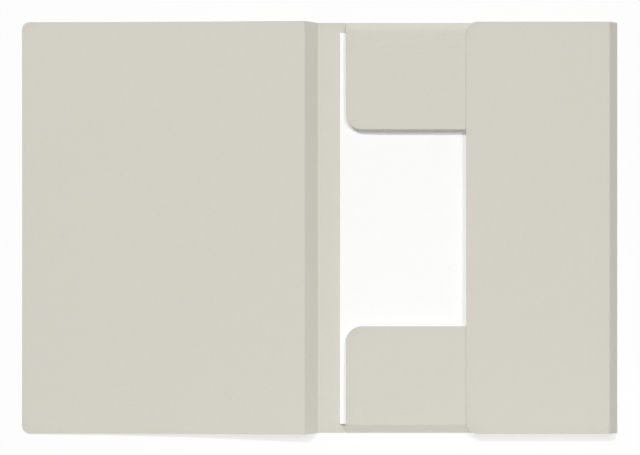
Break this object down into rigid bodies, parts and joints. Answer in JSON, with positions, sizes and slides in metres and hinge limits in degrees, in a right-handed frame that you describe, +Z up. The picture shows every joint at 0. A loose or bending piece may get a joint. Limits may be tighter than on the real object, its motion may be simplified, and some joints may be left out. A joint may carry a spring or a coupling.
{
  "type": "three-flap folder",
  "caption": "Open document folder of plain grey board: a cover on a creased spine, and gusseted top, bottom and side flaps folded in over a thin sheaf of sheets.",
  "frame": {"origin": "middle of the open folder's footprint, on the table that it lies on", "axes": "+X across the open folder from the cover to the side flap, +Y along the spine to the top flap, +Z up"},
  "size_m": [0.4538, 0.3134, 0.0086],
  "materials": {
    "board": "matte uncoated recycled board, light warm grey",
    "crease": "matte uncoated board, scored and rounded at the fold",
    "sheet": "matte white office paper"
  },
  "bodies": {
    "back": {"back_panel": "board", "spine_crease": "crease", "top_base_crease": "crease", "bottom_base_crease": "crease", "side_base_crease": "crease"},
    "spine": {"spine_panel": "board", "cover_crease": "crease"},
    "cover": {"front_cover": "board"},
    "side_gusset": {"side_gusset": "board", "side_flap_crease": "crease"},
    "side_flap": {"side_flap": "board"},
    "top_gusset": {"top_gusset": "board", "top_flap_crease": "crease"},
    "top_flap": {"top_flap": "board"},
    "bottom_gusset": {"bottom_gusset": "board", "bottom_flap_crease": "crease"},
    "bottom_flap": {"bottom_flap": "board"},
    "sheets": {"filed_sheets": "sheet"}
  },
  "joints": [
    {"name": "spine_fold", "type": "hinge", "parent": "back", "child": "spine", "pos_m": [-0.00113, 0, 0.0005], "axis": [0, 1, 0], "range_deg": [0, 52]},
    {"name": "cover_fold", "type": "hinge", "parent": "spine", "child": "cover", "pos_m": [-0.01152, 0, 0.00831], "axis": [0, 1, 0], "range_deg": [0, 130.14]},
    {"name": "side_gusset_fold", "type": "hinge", "parent": "back", "child": "side_gusset", "pos_m": [0.22637, 0, 0.0005], "axis": [0, 1, 0], "range_deg": [0, 133]},
    {"name": "side_flap_fold", "type": "hinge", "parent": "side_gusset", "child": "side_flap", "pos_m": [0.21955, 0, 0.00781], "axis": [0, 1, 0], "range_deg": [0, 47]},
    {"name": "top_gusset_fold", "type": "hinge", "parent": "back", "child": "top_gusset", "pos_m": [0.11821, 0.15575, 0.0005], "axis": [-1, 0, 0], "range_deg": [0, 137]},
    {"name": "top_flap_fold", "type": "hinge", "parent": "top_gusset", "child": "top_flap", "pos_m": [0.11821, 0.14917, 0.00664], "axis": [-1, 0, 0], "range_deg": [0, 43]},
    {"name": "bottom_gusset_fold", "type": "hinge", "parent": "back", "child": "bottom_gusset", "pos_m": [0.11821, -0.15575, 0.0005], "axis": [1, 0, 0], "range_deg": [0, 137]},
    {"name": "bottom_flap_fold", "type": "hinge", "parent": "bottom_gusset", "child": "bottom_flap", "pos_m": [0.11821, -0.14917, 0.00664], "axis": [1, 0, 0], "range_deg": [0, 43]},
    {"name": "sheets_slide", "type": "slide", "parent": "back", "child": "sheets", "axis": [-1, 0, 0], "range_m": [0, 0.013]}
  ],
  "couplings": [
    {"joint": "side_flap_fold", "follows": "side_gusset_fold", "ratio": 0.35338},
    {"joint": "top_gusset_fold", "follows": "side_gusset_fold", "ratio": 1.0301},
    {"joint": "top_flap_fold", "follows": "side_gusset_fold", "ratio": 0.32331},
    {"joint": "bottom_gusset_fold", "follows": "side_gusset_fold", "ratio": 1.0301},
    {"joint": "bottom_flap_fold", "follows": "side_gusset_fold", "ratio": 0.32331}
  ]
}
